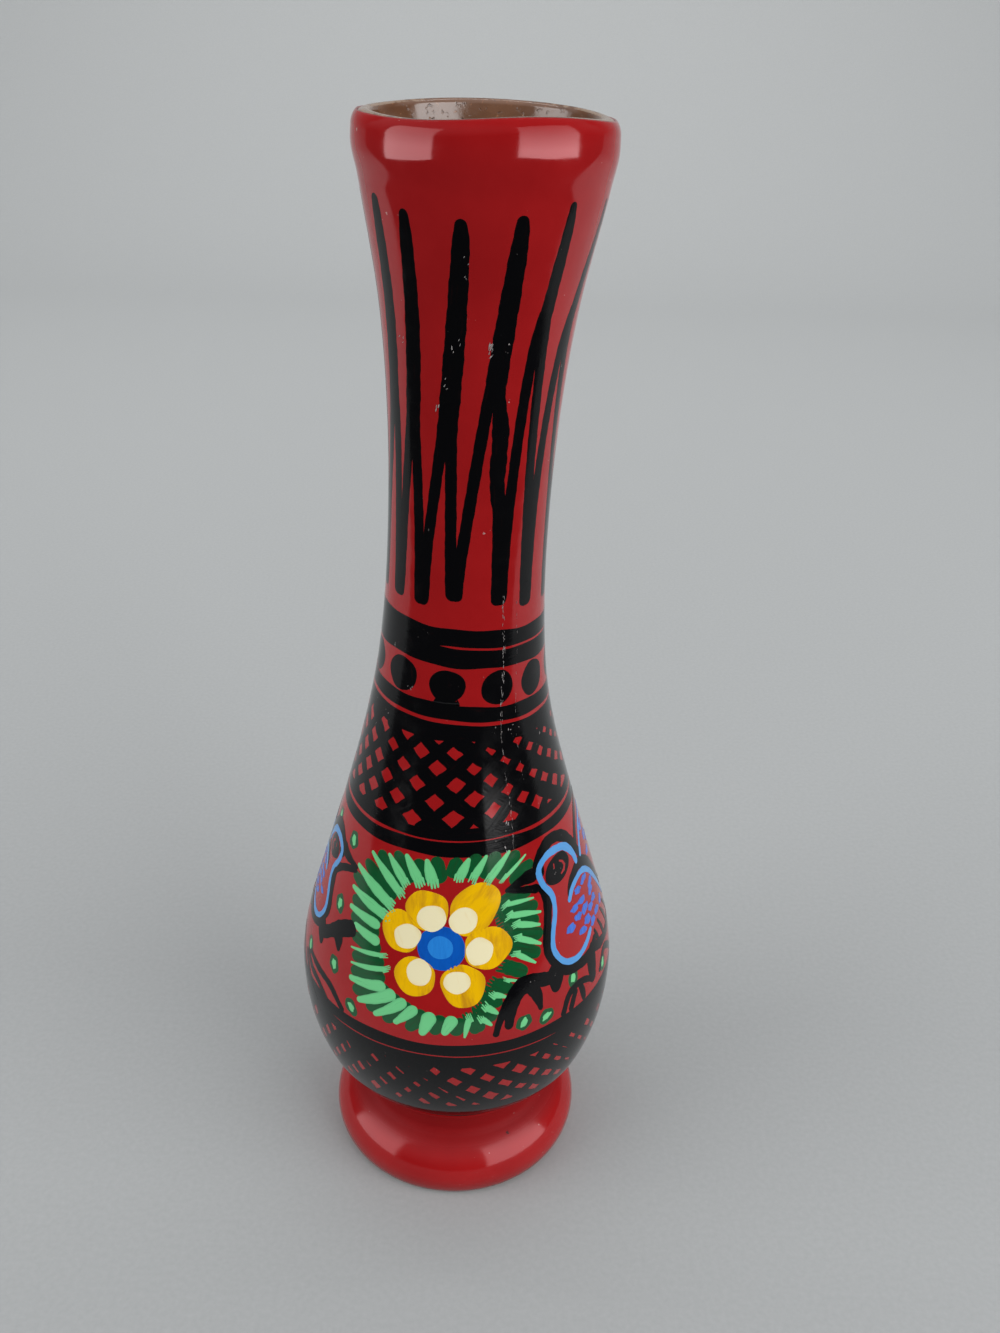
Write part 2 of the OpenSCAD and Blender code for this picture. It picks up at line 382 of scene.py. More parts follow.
class Shader:
    """A procedural material with a Principled shader and a few helpers."""

    def __init__(self, name, specular=0.5):
        self.material = bpy.data.materials.new(name)
        self.material.use_nodes = True
        self.nodes, self.links = self.material.node_tree.nodes, self.material.node_tree.links
        self.bsdf = self.nodes["Principled BSDF"]
        self.bsdf.inputs["Specular IOR Level"].default_value = specular
        self.place = self.nodes.new("ShaderNodeTexCoord").outputs["Object"]

    def set(self, socket, value):
        self.links.new(value, self.bsdf.inputs[socket])

    def fill(self, node, inputs):
        """Puts a number or another node's output at each input, and gives the node's own outputs."""
        for socket, value in inputs.items():
            if isinstance(value, bpy.types.NodeSocket):
                self.links.new(value, node.inputs[socket])
            else:
                node.inputs[socket].default_value = value
        return node.outputs

    def attribute(self, name, output="Fac"):
        """A value of the mesh's points, which is 0 where there is none."""
        node = self.nodes.new("ShaderNodeAttribute")
        node.attribute_name = name
        return node.outputs[output]

    def vector_math(self, operation, a, b, output="Vector"):
        node = self.nodes.new("ShaderNodeVectorMath")
        node.operation = operation
        return self.fill(node, {0: a, 1: b})[output]

    def axis(self, vector, name):
        return self.fill(self.nodes.new("ShaderNodeSeparateXYZ"), {0: vector})[name]

    def noise(self, scale, detail=3.0, roughness=0.55, vector=None):
        inputs = {"Vector": vector or self.place, "Scale": scale, "Detail": detail, "Roughness": roughness}
        return self.fill(self.nodes.new("ShaderNodeTexNoise"), inputs)["Fac"]

    def range(self, value, low, high, to_low=0.0, to_high=1.0):
        inputs = {"Value": value, "From Min": low, "From Max": high, "To Min": to_low, "To Max": to_high}
        return self.fill(self.nodes.new("ShaderNodeMapRange"), inputs)["Result"]

    def specks(self, fine, fine_range, coarse, coarse_range):
        """Fine specks that show only in some places: scale and range of two noises."""
        small = self.range(self.noise(fine, 2), *fine_range)
        return self.math("MULTIPLY", small, self.range(self.noise(coarse, 2), *coarse_range))

    def math(self, operation, a, b):
        node = self.nodes.new("ShaderNodeMath")
        node.operation = operation
        return self.fill(node, {0: a, 1: b})[0]

    def mix(self, share, a, b):
        node = self.nodes.new("ShaderNodeMix")
        node.data_type = "RGBA"
        a, b = ((*colour, 1.0) if isinstance(colour, tuple) else colour for colour in (a, b))
        return self.fill(node, {"Factor": share, 6: a, 7: b})[2]

    def bump(self, height, distance, strength):
        inputs = {"Height": height, "Distance": distance, "Strength": strength}
        self.set("Normal", self.fill(self.nodes.new("ShaderNodeBump"), inputs)["Normal"])


# The shine of the enamel is a little pink
ENAMEL_SHINE = (1.0, 0.55, 0.58)
# Reds of the enamel: two brushed tones, painted shade for the groove and by the table, worn to a speck,
# chipped
RED_TONES, SHADE_RED = ((0.29, 0.006, 0.007), (0.335, 0.008, 0.009)), (0.12, 0.003, 0.004)
WORN_RED, CHIP_RED = (0.5, 0.36, 0.34), (0.035, 0.012, 0.012)
# Heights in metres over which the groove begins and ends, the painted shade begins near the table, the dull
# foot ends, the shine grows, and the lip's crest goes dull
GROOVE_IN, GROOVE_OUT, TABLE_IN = (0.0115, 0.015), (0.022, 0.02), (0.006, 0.001)
FOOT_OUT, SHINE_IN, CREST_IN = (0.02, 0.022), (0.0, 0.23), (0.2455, 0.2495)
# A small dark chip on the foot, in metres: middle, radius and raggedness
CHIP_PLACE, CHIP_R, CHIP_RAGGED = (0.0142, -0.0228, 0.0137), 0.0007, 0.0004


def enamel_red():
    """Uneven red enamel: glossy lip, dull foot, painted shade in the groove and near the table, a chip."""
    s = Shader("red_enamel")
    red = s.mix(s.range(s.noise(60, 4), 0.35, 0.65), *RED_TONES)
    red = s.mix(s.specks(900, (0.73, 0.76), 70, (0.54, 0.62)), red, WORN_RED)
    height = s.axis(s.place, "Z")
    groove = s.math("MULTIPLY", s.range(height, *GROOVE_IN), s.range(height, *GROOVE_OUT))
    # Painted shade: the red is darkened in the groove under the belly and towards the table at the foot's
    # edge
    thick = s.math("MAXIMUM", groove, s.range(height, *TABLE_IN))
    red = s.mix(s.math("MULTIPLY", thick, 0.5), red, SHADE_RED)
    away = s.vector_math("DISTANCE", s.place, CHIP_PLACE, "Value")
    away = s.math("ADD", away, s.range(s.noise(2500, 2), 0.3, 0.7, 0.0, CHIP_RAGGED))
    s.set("Base Color", s.mix(s.range(away, CHIP_R, CHIP_R * 0.7), red, CHIP_RED))
    dull = s.math("MAXIMUM", s.range(groove, 0.0, 1.0, 0.0, 0.55), s.range(height, *FOOT_OUT, 0.13, 0.0))
    s.set("Roughness", s.math("MAXIMUM", s.range(s.noise(240, 4), 0.3, 0.7, 0.05, 0.13), dull))
    gloss = s.math("MULTIPLY", s.range(height, *SHINE_IN, 0.5, 1.0), s.range(height, *CREST_IN, 1.0, 0.1))
    s.set("Specular IOR Level", s.math("MULTIPLY", gloss, s.range(groove, 0.0, 1.0, 1.0, 0.3)))
    s.bsdf.inputs["Specular Tint"].default_value = (*ENAMEL_SHINE, 1.0)
    s.bump(s.noise(110, 2, 0.4), 0.00025, 0.25)
    return s.material


def paint(name, thick, thin, thinning, edge_share=0.35, specular=0.5, wear=None):
    """Glossy paint that is thinner in its brush streaks, with dull thin edges and a fine bristle grain."""
    s = Shader(name, specular)
    # Place along the brush stroke, place across it, and a number for each stroke
    pull = s.attribute("stroke", "Vector")
    streaks = s.noise(1.0, 4, 0.6, s.vector_math("MULTIPLY", pull, (0.14, 2.6, 40.0)))
    across = s.math("ABSOLUTE", s.axis(pull, "Y"), 0.0)
    rim = s.range(across, 0.62, 1.0, 0.0, edge_share)
    colour = s.mix(s.math("MAXIMUM", s.range(streaks, *thinning), rim), thick, thin)
    if wear:
        colour = s.mix(s.specks(1300, (0.71, 0.75), 90, (0.6, 0.68)), colour, wear)
    s.set("Base Color", colour)
    dull = s.range(s.attribute("top"), 0.95, 1.0, 0.95, 0.0)
    s.set("Roughness", s.math("MAXIMUM", s.range(s.noise(300, 3), 0.3, 0.7, 0.06, 0.15), dull))
    s.bump(streaks, 0.00003, 0.4)
    return s.material


def bare_clay(name, dark, light, roughness, worn):
    """Fired clay with cloudy tones, grog and small pits, paler where it is worn."""
    s = Shader(name, 1.0)
    cloud = s.range(s.noise(90, 5), 0.3, 0.7)
    pits = s.range(s.noise(800, 3), 0.62, 0.74)
    grog = s.range(s.noise(1600, 2), 0.66, 0.74)
    colour = s.mix(cloud, dark, light)
    edge_wear = s.math("ADD", s.attribute("worn"), s.range(s.noise(500, 3), 0.3, 0.7, -0.35, 0.35))
    colour = s.mix(s.range(edge_wear, 0.45, 0.65), colour, worn)
    colour = s.mix(pits, colour, tuple(c * 0.35 for c in dark))
    s.set("Base Color", s.mix(grog, colour, tuple(min(1.0, c * 1.7) for c in light)))
    s.set("Roughness", s.range(s.noise(400, 4), 0.3, 0.7, *roughness))
    s.bump(s.math("SUBTRACT", s.noise(350, 4), pits), 0.00012, 0.5)
    return s.material


RED = enamel_red()
# Paints: colour where thick and where thin, range of the streaks that are thin, and for some the share of the
# thin colour at the edges, the shine and the colour where worn
TONES = {
    "black": ((0.0015, 0.0015, 0.002), (0.022, 0.004, 0.004), (0.62, 0.95), 0.0, 0.25, (0.3, 0.27, 0.26)),
    "dark_green": ((0.002, 0.075, 0.02), (0.012, 0.042, 0.013), (0.5, 0.75)),
    "light_green": ((0.15, 0.57, 0.235), (0.045, 0.28, 0.105), (0.6, 0.8)),
    "yellow": ((0.8, 0.45, 0.000), (0.54, 0.25, 0.006), (0.48, 0.72), 0.7),
    "cream": ((0.83, 0.75, 0.48), (0.76, 0.58, 0.24), (0.6, 0.9)),
    "deep_blue": ((0.002, 0.09, 0.45), (0.002, 0.06, 0.34), (0.45, 0.75)),
    "pupil_blue": ((0.02, 0.22, 0.66), (0.014, 0.17, 0.58), (0.45, 0.75)),
    "sky_blue": ((0.08, 0.295, 0.63), (0.06, 0.23, 0.56), (0.5, 0.75)),
    "violet_blue": ((0.045, 0.15, 0.6), (0.035, 0.08, 0.36), (0.45, 0.75)),
    "red": ((0.34, 0.008, 0.011), (0.2, 0.006, 0.008), (0.56, 0.8)),
    # Pale paint of the worn scuffs, also used for the painted glints along the scratches
    "worn": ((0.36, 0.34, 0.33), (0.22, 0.19, 0.19), (0.4, 0.7)),
}
PAINT = {colour: paint(f"{colour}_paint", *tones) for colour, tones in TONES.items()}
WORN_CLAY = (0.3, 0.19, 0.12)
CLAY = bare_clay("raw_clay", (0.12, 0.046, 0.018), (0.2, 0.085, 0.038), (0.12, 0.26), WORN_CLAY)
SLIP = bare_clay("slip_clay", (0.2, 0.1, 0.06), (0.28, 0.15, 0.095), (0.55, 0.75), WORN_CLAY)

# Camera: sensor, lens and place in millimetres, tilt down and roll in degrees, near limit in metres
SENSOR_W, LENS, CAMERA_PLACE = 36.0, 32.86, (8.85, -237.5, 267.4)
CAMERA_DOWN, CAMERA_ROLL, CLIP_START = 28.82, 1.66, 0.01


def camera():
    """The photograph's view: close by, well above and rolled a little."""
    data = bpy.data.cameras.new("camera")
    data.sensor_width = SENSOR_W
    data.lens = LENS
    data.clip_start = CLIP_START
    cam = bpy.data.objects.new("camera", data)
    pitch, roll = math.radians(90 - CAMERA_DOWN), math.radians(CAMERA_ROLL)
    place = Matrix.Translation([c * MM for c in CAMERA_PLACE])
    cam.matrix_world = place @ Matrix.Rotation(pitch, 4, "X") @ Matrix.Rotation(roll, 4, "Z")
    bpy.context.scene.collection.objects.link(cam)
    bpy.context.scene.camera = cam


def lamp(name, place, facing, size, watts):
    """A soft lamp that faces a direction."""
    data = bpy.data.lights.new(name, "AREA")
    data.shape = "RECTANGLE"
    data.size, data.size_y = size
    data.energy = watts
    light = bpy.data.objects.new(name, data)
    light.location = place
    light.rotation_euler = Vector(facing).to_track_quat("-Z", "Y").to_euler()
    bpy.context.scene.collection.objects.link(light)


SKY_COLOUR, SKY_LOW, SKY_HIGH = (0.95, 0.97, 1.0), 0.06, 0.75


def sky():
    """A soft sky, brightest overhead and dim at the horizon."""
    world = bpy.data.worlds.new("sky")
    world.use_nodes = True
    nodes, links = world.node_tree.nodes, world.node_tree.links
    split = nodes.new("ShaderNodeSeparateXYZ")
    links.new(nodes.new("ShaderNodeTexCoord").outputs["Generated"], split.inputs[0])
    shade = nodes.new("ShaderNodeMapRange")
    shade.interpolation_type = "SMOOTHSTEP"
    shade.inputs["To Min"].default_value = SKY_LOW
    shade.inputs["To Max"].default_value = SKY_HIGH
    links.new(split.outputs["Z"], shade.inputs["Value"])
    background = nodes["Background"]
    background.inputs["Color"].default_value = (*SKY_COLOUR, 1)
    links.new(shade.outputs["Result"], background.inputs["Strength"])
    bpy.context.scene.world = world


# The floor in metres: front edge, half the width there, widening, and the sweep up behind the vase
FLOOR_FRONT, FRONT_HALF, WIDENING = -0.2, 0.22, 1.6
SWEEP_Y, SWEEP_R, SWEEP_TOP = 1.0, 0.8, 2.5
FLOOR_TONES, FLOOR_ROUGHNESS = ((0.365, 0.375, 0.375), (0.435, 0.445, 0.445)), 0.9
# Lamps: name, place in metres, direction, width and height, power in watts
LAMPS = [
    ("lamp_left", (-0.9, -0.31, 0.5), (0.9, 0.45, 0), (0.8, 1.0), 7.0),
    ("lamp_right", (0.81, -0.5, 0.5), (-0.75, 0.66, 0), (1.0, 1.0), 11.0),
    ("lamp_top", (0, 0.4, 1.5), (0, 0.95, -0.4), (1.4, 0.6), 20),
]


def stage():
    """A pale floor that sweeps up behind the vase, and soft lamps left, right and above."""
    s = Shader("floor", 0.2)
    s.set("Base Color", s.mix(s.noise(700, 3), *FLOOR_TONES))
    s.bsdf.inputs["Roughness"].default_value = FLOOR_ROUGHNESS
    profile = [(FLOOR_FRONT, 0.0)] + arc((SWEEP_Y, SWEEP_R), (SWEEP_R, SWEEP_R), -90, 0, 24)
    profile.append((SWEEP_Y + SWEEP_R, SWEEP_TOP))
    points = []
    for y, z in profile:
        half = FRONT_HALF + WIDENING * (y - FLOOR_FRONT)
        points += [(-half, y, z), (half, y, z)]
    faces = [(2 * i, 2 * i + 1, 2 * i + 3, 2 * i + 2) for i in range(len(profile) - 1)]
    mesh_object("floor", points, faces, s.material)
    for row in LAMPS:
        lamp(*row)


# Steps in height along a wall that shows, and along one that doesn't
FINE_STEP, COARSE_STEP = 1.0, 3.5
# Angle up the lip's edge where the enamel ends, and how much more that is in front and less behind
COAT_END, COAT_END_SWAY = 50, 12


def coat():
    """The red enamel over the whole outside, one skin from the foot to the lip."""
    outside = foot_line(0) + wall_line(WAIST_H, LIP_WALL_H, 0, FINE_STEP)
    inside = foot_line(COAT_T) + wall_line(WAIST_H, LIP_WALL_H, COAT_T, COARSE_STEP)
    ends = COAT_END + COAT_END_SWAY * np.cos(TURN)
    rims = [lip_edge(0, end) + lip_edge(COAT_T, end)[::-1] for end in ends]
    piece = turned("red_coat", [outside + rim + inside[::-1] for rim in rims], RED)
    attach(piece, "root")
    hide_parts("belly_enamel", "neck_enamel")


# How far down the lip's crest is worn, how little in front and behind, and how far the mouth flares
WORN_DEPTH, WORN_LEAST, MOUTH_FLARE = 0.75, 0.1, 0.7


def clay_lip():
    """The uneven bare coil round the mouth, worn pale on top at the left and the right."""
    depth = WALL_T + COAT_T
    inner_r = LIP_R - depth
    inner_round = arc((inner_r + MOUTH_FLARE + LIP_INNER_ROUND, TOP_H - COAT_T - LIP_INNER_ROUND),
                      (LIP_INNER_ROUND, LIP_INNER_ROUND), 90, 170)
    outline = wall_line(LIP_JOINT_H, LIP_WALL_H, COAT_T, FINE_STEP) + lip_edge(COAT_T, 90) + inner_round
    outline += wall_line(LIP_JOINT_H, LIP_H, depth, FINE_STEP)[::-1]
    piece = turned("clay_lip", outline, CLAY)
    crest = [float(h > TOP_H - WORN_DEPTH) for _, h in outline]
    wear = WORN_LEAST + (1 - WORN_LEAST) * np.sin(TURN) ** 2
    point_values(piece, "worn", "FLOAT", "value", np.outer(wear, crest))
    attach(piece, "root")
    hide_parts("lip")


# Strokes on the neck: angle and height of the top, the fork and the place where two arms meet, height of the
# tip, and share of the usual width
NECK_STROKES = [
    (-82, 236, -84, 192, -76, 176, 158, 1), (-56, 236.5, -60, 196, -52, 177, 158.5, 0.95),
    (-36.5, 235, -41, 190, -30.5, 172.5, 158.5, 0.9), (-8.5, 234.5, -16, 191.5, -6.5, 170, 160.5, 1),
    (19, 235.5, 13, 201, 25, 178, 159.5, 1), (44, 237.5, 38.5, 209, 48, 182, 158, 0.75),
    (75, 237, 62, 209, 77, 180, 157, 0.75), (104, 235, 99, 199, 106, 175, 158.5, 1),
    (132, 236, 127, 204, 135, 176, 159.5, 0.9), (158, 237, 152, 199, 160, 173, 158, 1),
    (184, 235, 178, 197, 185, 179, 159, 1), (209, 236, 204, 206, 211, 178, 160, 0.8),
    (235, 235, 229, 200, 236, 174, 158.5, 1), (258, 236.5, 254, 199, 262, 177, 159.5, 0.9),
]
# Usual widths of a stroke down to its fork, and of an arm down to its tip
TOP_WIDTHS, ARM_WIDTHS = (2.0, 3.2, 3.9, 4.1), (2.3, 2.4, 2.4, 2.9)
# One arm at the front is thicker
THICK_ARM = [(15, 204), (19, 196), (19, 186), (22, 179), (24, 170), (24, 160)]
THICK_WIDTHS = (2.6, 3.4, 3.2, 2.8, 3.0, 2.8)
# Half the angle between the two arms at a fork and at a tip
FORK_HALF, TIP_HALF = 3.6, 1.0
# An arm begins this far above its fork, beside the stroke by this share of the half angle
ARM_RISE, ARM_ASIDE = 10, 0.25
NECK_TREMOR = 0.03


def neck_strokes():
    """Long strokes that fork in two, and arms of neighbours that meet in a tip."""
    film = Film("black")
    first = NECK_STROKES[0]
    loop = NECK_STROKES + [(first[0] + 360, first[1], first[2] + 360, *first[3:])]
    for here, after in zip(loop, loop[1:]):
        top, top_h, fork, fork_h, meet, meet_h, tip_h, share = here
        middle = ((top + fork) / 2 + 1, (top_h + fork_h) / 2)
        route = [(top, top_h), (top, top_h - 5), middle, (fork, fork_h + 1)]
        stroke(film, route, [share * width for width in TOP_WIDTHS], tremor=NECK_TREMOR)
        for origin, side in ((here, 1), (after, -1)):
            from_top, from_top_h, start, start_h = origin[:4]
            on_line = start + ARM_RISE * (from_top - start) / (from_top_h - start_h)
            begin = (on_line + side * ARM_ASIDE * FORK_HALF, start_h + ARM_RISE)
            open_at = (start + side * FORK_HALF, start_h)
            close_at = (meet - side * FORK_HALF, meet_h)
            tip = (meet - side * TIP_HALF, tip_h)
            stroke(film, [begin, open_at, close_at, tip], ARM_WIDTHS, tremor=NECK_TREMOR)
    stroke(film, THICK_ARM, THICK_WIDTHS)
    film.piece("neck_strokes", "black_paint")


# How far the neck's rings rise on one side, degrees from the front to there, and a slit's soft end
SWAY_H, SWAY_ANGLE, SOFT_END = 1.05, 45, 20


def sway(theta):
    """How far the rings round the neck rise or sink at an angle."""
    return SWAY_H * np.cos(theta + math.radians(SWAY_ANGLE))


def window(theta, start, end):
    """1 between two angles in degrees and 0 outside, with soft ends."""
    turn = np.degrees(theta)
    turn = np.where(turn > 180, turn - 360, turn)
    return fade(turn, start, start + SOFT_END) * fade(turn, end, end - SOFT_END)


def edge(height, wave, tilt=0.0):
    """A hand-drawn edge at about one height, with a slow and a fast wave."""
    slow, fast = any_phase(), any_phase()
    return lambda t: height + tilt * sway(t) + wave * (np.sin(5 * t + slow) + 0.6 * np.sin(11 * t + fast))


def split_band(film, low, high, gap, start, end, tilt=0.0):
    """Two rings that overlap a little, but leave a thin red slit between two angles."""
    middle = edge((low + high) / 2, 0.08, tilt)
    ring(film, lambda t: middle(t) + gap * window(t, start, end) - 0.25, edge(high, 0.15, tilt))
    ring(film, edge(low, 0.15, tilt), lambda t: middle(t) - 0.25 * window(t, start, end) + 0.2)


def bands():
    """The black rings, from the one under the neck strokes down to the waist."""
    film = Film("black")
    split_band(film, low=145.1, high=153.6, gap=0.65, start=-24, end=130, tilt=1)
    ring(film, edge(132.9, 0.1, 1.3), edge(136.4, 0.15, 1.3))
    ring(film, edge(128.4, 0.25, 1.2), edge(132.1, 0.08, 1.3))
    ring(film, edge(107.5, 0.06), edge(110.2, 0.25))
    ring(film, edge(103.9, 0.15), lambda t: 107.2 - 0.5 * (1 - window(t, -45, 45)))
    split_band(film, low=53.0, high=60.0, gap=0.5, start=-58, end=50)
    ring(film, edge(21.5, 0.1), edge(37.8, 0.35), across=19)
    film.piece("black_bands", "black_paint")


DOTS = [-75, -42, -8, 26, 57, 90, 122, 155, 188, 220, 252]
DOT_H, DOT_SIZE = 140.7, 3.9
# Paint that has run from one dot into the ring below it
RUN, RUN_WIDTHS, RUN_LEVEL = [(-8, 139.5), (-7.5, 135.5)], (6.0, 5.2), -0.5


def dots():
    """A row of round dots, one of which has run."""
    film = Film("black")
    for angle in DOTS:
        h = DOT_H + float(sway(math.radians(angle)))
        size = [DOT_SIZE * random.uniform(0.94, 1.05) for _ in range(2)]
        dab(film, (angle, h), size, random.uniform(0, 90), ragged=0.02)
    stroke(film, RUN, RUN_WIDTHS, RUN_LEVEL)
    film.piece("black_dots", "black_paint")


# Strokes of the lattices at the front: angle at the top, angle at the bottom, width
UPPER_FALLING = [
    (-103, -44, 2.6), (-87, -24, 2.6), (-69, -2, 3.5), (-48, 24, 3.2), (-25, 48, 2.7), (-3, 71, 3.6),
    (16, 97, 3.5), (39, 120, 3.2),
]
UPPER_RISING = [
    (-55, -100, 2.1), (-36, -88, 2.1), (-19, -74, 2.2), (1, -58, 2.3), (22, -40, 2.9), (40, -20, 2.4),
    (56, -1, 2.7), (71, 16, 2.7), (85, 32, 2.4), (98, 48, 2.4), (113, 64, 2.4),
]
LOWER_FALLING = [
    (-60, -34, 2.6), (-52, -28, 2.6), (-45, -22, 2.6), (-41, -8, 2.9), (-37, 6, 3.1), (-29, 16, 2.9),
    (-23, 28, 2.8), (-17, 41, 3.1), (-6, 56, 3.1), (7, 68, 3.1), (21, 76, 3.0), (32, 79, 2.7), (39, 82, 2.9),
    (47, 88, 2.9),
]
LOWER_RISING = [
    (-50, -86, 3.6), (-39, -75, 3.6), (-28, -64, 3.6), (-17, -53, 3.6), (-6, -42, 3.4), (4, -32, 3.2),
    (15, -21, 2.7), (26, -10, 2.6), (37, 1, 2.6), (47, 11, 2.7), (57, 21, 2.8), (68, 32, 2.9),
]
# Heights of the ends of a lattice's strokes, and degrees between its falling and its rising ones at the back
UPPER_SPAN, UPPER_PITCHES = (131.0, 108.6), (20, 17)
LOWER_SPAN, LOWER_PITCHES = (55.0, 25.0), (9, 10.6)


def all_round(front, pitch):
    """The strokes at the front, and evenly spaced ones round the back."""
    last, first = np.array(front[-1]), np.array(front[0]) + (360, 360, 0)
    count = round((first[0] - last[0]) / pitch)
    return front + [tuple(last + (first - last) * i / count) for i in range(1, count)]


def lattice(name, span, fronts, pitches):
    """Crossing strokes, drawn by hand, that leave red diamonds and slits."""
    film = Film("black")
    top_h, low_h = span
    for front, pitch in zip(fronts, pitches):
        for top, low, width in all_round(front, pitch):
            middle = ((top + low) / 2 + random.uniform(-0.8, 0.8), (top_h + low_h) / 2)
            stroke(film, [(top, top_h), middle, (low, low_h)], width)
    film.piece(name, "black_paint")


# Petals: place of the yellow blob, its half sizes and turn, place of the cream dab
PETALS = [
    (-3.5, 8.6, 4.8, 4.8, 0, -2.4, 6.9), (7.0, 9.2, 5.2, 6.6, -38, 4.6, 6.7),
    (10.4, -0.3, 5.6, 5.0, 0, 8.5, -0.8), (5.2, -9.0, 5.0, 5.3, 10, 3.8, -8.0),
    (-5.8, -7.6, 4.9, 4.7, 0, -4.8, -6.3), (-9.5, 2.4, 4.5, 5.0, 15, -7.8, 1.7),
]
EYE_SIZE, PUPIL_SIZE, PUPIL_SHIFT = (5.4, 5.3), (2.8, 2.8), (-0.2, 0.2)


def flower(films, centre):
    """Six yellow petals with cream dabs round a blue eye."""
    for u, v, half_w, half_h, turn, dab_u, dab_v in PETALS:
        dab(films["yellow"], around(centre, u, v), (half_w, half_h), turn, 1, egg=0.05, ragged=0.03)
        size = [random.uniform(2.9, 3.4), random.uniform(2.8, 3.2)]
        dab(films["cream"], around(centre, dab_u, dab_v), size, random.uniform(0, 90), 2, ragged=0.03)
    dab(films["deep_blue"], centre, EYE_SIZE, level=1, ragged=0.015)
    dab(films["pupil_blue"], around(centre, *PUPIL_SHIFT), PUPIL_SIZE, level=2, ragged=0.02)


# Groups of light leaf strokes: angle and distance from the flower's middle for the outer and the inner end,
# width, and whether it is frayed
LEAF_GROUPS = [
    [(46, 27, 49, 19.5, 1.0, 1), (56, 26, 58, 18, 1.9, 1), (67, 23.5, 69, 17, 1.9, 1),
     (76, 22, 79, 16, 2.3, 1)],
    [(101, 21, 99, 14.5, 2.7, 1), (113, 22.5, 110, 15, 2.6, 1), (124, 23.5, 122, 15.5, 2.3, 1),
     (135, 25.5, 131, 14, 2.3, 1), (150, 26, 147, 13.5, 2.9, 1), (163, 25, 160, 13.5, 2.8, 1),
     (174, 24.5, 173, 14, 2.4, 0), (182, 22.5, 188, 14, 2.6, 0), (196, 24, 199, 13.5, 1.2, 1),
     (204, 25, 211, 14, 1.4, 1), (211, 27, 223, 16.5, 2.6, 0), (222, 27.5, 231, 15.5, 2.9, 0),
     (232, 25.5, 241, 15, 2.6, 0), (243, 23, 251, 15, 2.5, 0), (260, 22.5, 264, 15, 3.3, 0),
     (273, 21.5, 282, 16, 3.0, 0), (285, 23, 292, 17.5, 1.5, 1)],
    [(302, 23, 299, 19, 1.6, 1), (309, 21.5, 306, 17, 1.8, 1), (320, 20, 316, 16, 1.6, 1),
     (332, 21, 330, 16.5, 0.9, 1), (343, 23.5, 350, 16.5, 1.4, 1), (353, 24, 362, 16.5, 1.6, 1),
     (364, 23.5, 373, 16.5, 1.7, 1), (371, 24, 383, 15.5, 1.6, 1), (382, 23, 393, 16, 1.2, 1)],
]
# How much further in each group's dark strokes reach, and degrees from its ends to the last dark ones
LEAF_REACH, LEAF_SPACE = (0, 0, 2.4), 6
# Widths of a dark stroke from its outer end, and shares of a light one's width
DARK_WIDTHS, FRAYED_SHARES, ROUND_SHARES = (2.6, 3.7, 3.2), (0.35, 0.95, 0.9), (0.5, 0.95, 1.1)
# Places of the bristles across a frayed end, and their widths, as shares of its width
BRISTLES, BRISTLE_SHARES = (-0.36, -0.12, 0.12, 0.36), (0.3, 0.14)


def dark_leaves(group):
    """Ends of the dark strokes, between the light ones and beside the first and the last."""
    ends = [np.array(leaf[:4]) for leaf in group]
    turn = np.array((LEAF_SPACE, 0, LEAF_SPACE, 0))
    return [ends[0] - turn] + [(a + b) / 2 for a, b in zip(ends, ends[1:])] + [ends[-1] + turn]


def wreath(films, centre):
    """Broad dark leaf strokes round a flower, and lighter ones on them with frayed ends."""

    def spot(angle, distance, sideways=0.0):
        a = math.radians(angle)
        c, s = math.cos(a), math.sin(a)
        return around(centre, distance * c - sideways * s, distance * s + sideways * c)

    def fray(colour, angle, inner, width, level):
        for sideways in BRISTLES:
            tail = inner + random.uniform(-0.7, 0.3)
            ends = [spot(angle, inner + 2.0, sideways * width), spot(angle, tail, 1.1 * sideways * width)]
            stroke(films[colour], ends, [share * width for share in BRISTLE_SHARES], level)

    for group, reach in zip(LEAF_GROUPS, LEAF_REACH):
        for a0, outer, a1, inner in dark_leaves(group):
            inner = inner - reach
            middle = spot((a0 + a1) / 2, (outer + inner) / 2)
            outer = outer + random.uniform(-0.8, 0.6)
            stroke(films["dark_green"], [spot(a0, outer), middle, spot(a1, inner + 0.8)], DARK_WIDTHS)
            if reach:
                fray("dark_green", a1, inner, DARK_WIDTHS[-1], 0)
        for a0, outer, a1, inner, width, frayed in group:
            route = [spot(a0, outer), spot((a0 + a1) / 2, (outer + inner) / 2), spot(a1, inner + 0.8)]
            widths = [share * width for share in (FRAYED_SHARES if frayed else ROUND_SHARES)]
            stroke(films["light_green"], route, widths, 1, tremor=0.03)
            if frayed:
                fray("light_green", a1, inner, width, 1)


class Drawing:
    """A drawing on the vase, as it is, or mirrored about an angle and made smaller."""

    def __init__(self, films, mirror=None, scale=1.0):
        self.films, self.mirror, self.scale = films, mirror, scale

    def spot(self, angle, h):
        middle, middle_h = BIRD_MIDDLE
        a = middle + self.scale * (angle - middle)
        return (a if self.mirror is None else self.mirror - a), middle_h + self.scale * (h - middle_h)

    def pull(self, colour, points, widths, level=2):
        widths = np.broadcast_to(widths, len(points)) * (0.5 + 0.5 * self.scale)
        stroke(self.films[colour], [self.spot(*p) for p in points], widths, level)

    def dot(self, colour, angle, h, size, ragged):
        size = [self.scale * s for s in size]
        dab(self.films[colour], self.spot(angle, h), size, random.uniform(-15, 15), 2, ragged=ragged)


# The place that a smaller bird shrinks towards
BIRD_MIDDLE = (46, 84.5)
WING_MARKS = [
    (70, 86.5), (63, 86), (76, 83.5), (64, 83), (74, 82), (58, 83), (65, 80.5), (75, 79.5), (59, 80.5),
    (65, 77.5), (75, 76), (53, 79.5), (60, 76.5), (83, 75.5), (70, 79), (69, 75.5), (85, 96), (88, 92.5),
    (85, 89), (93, 90),
]
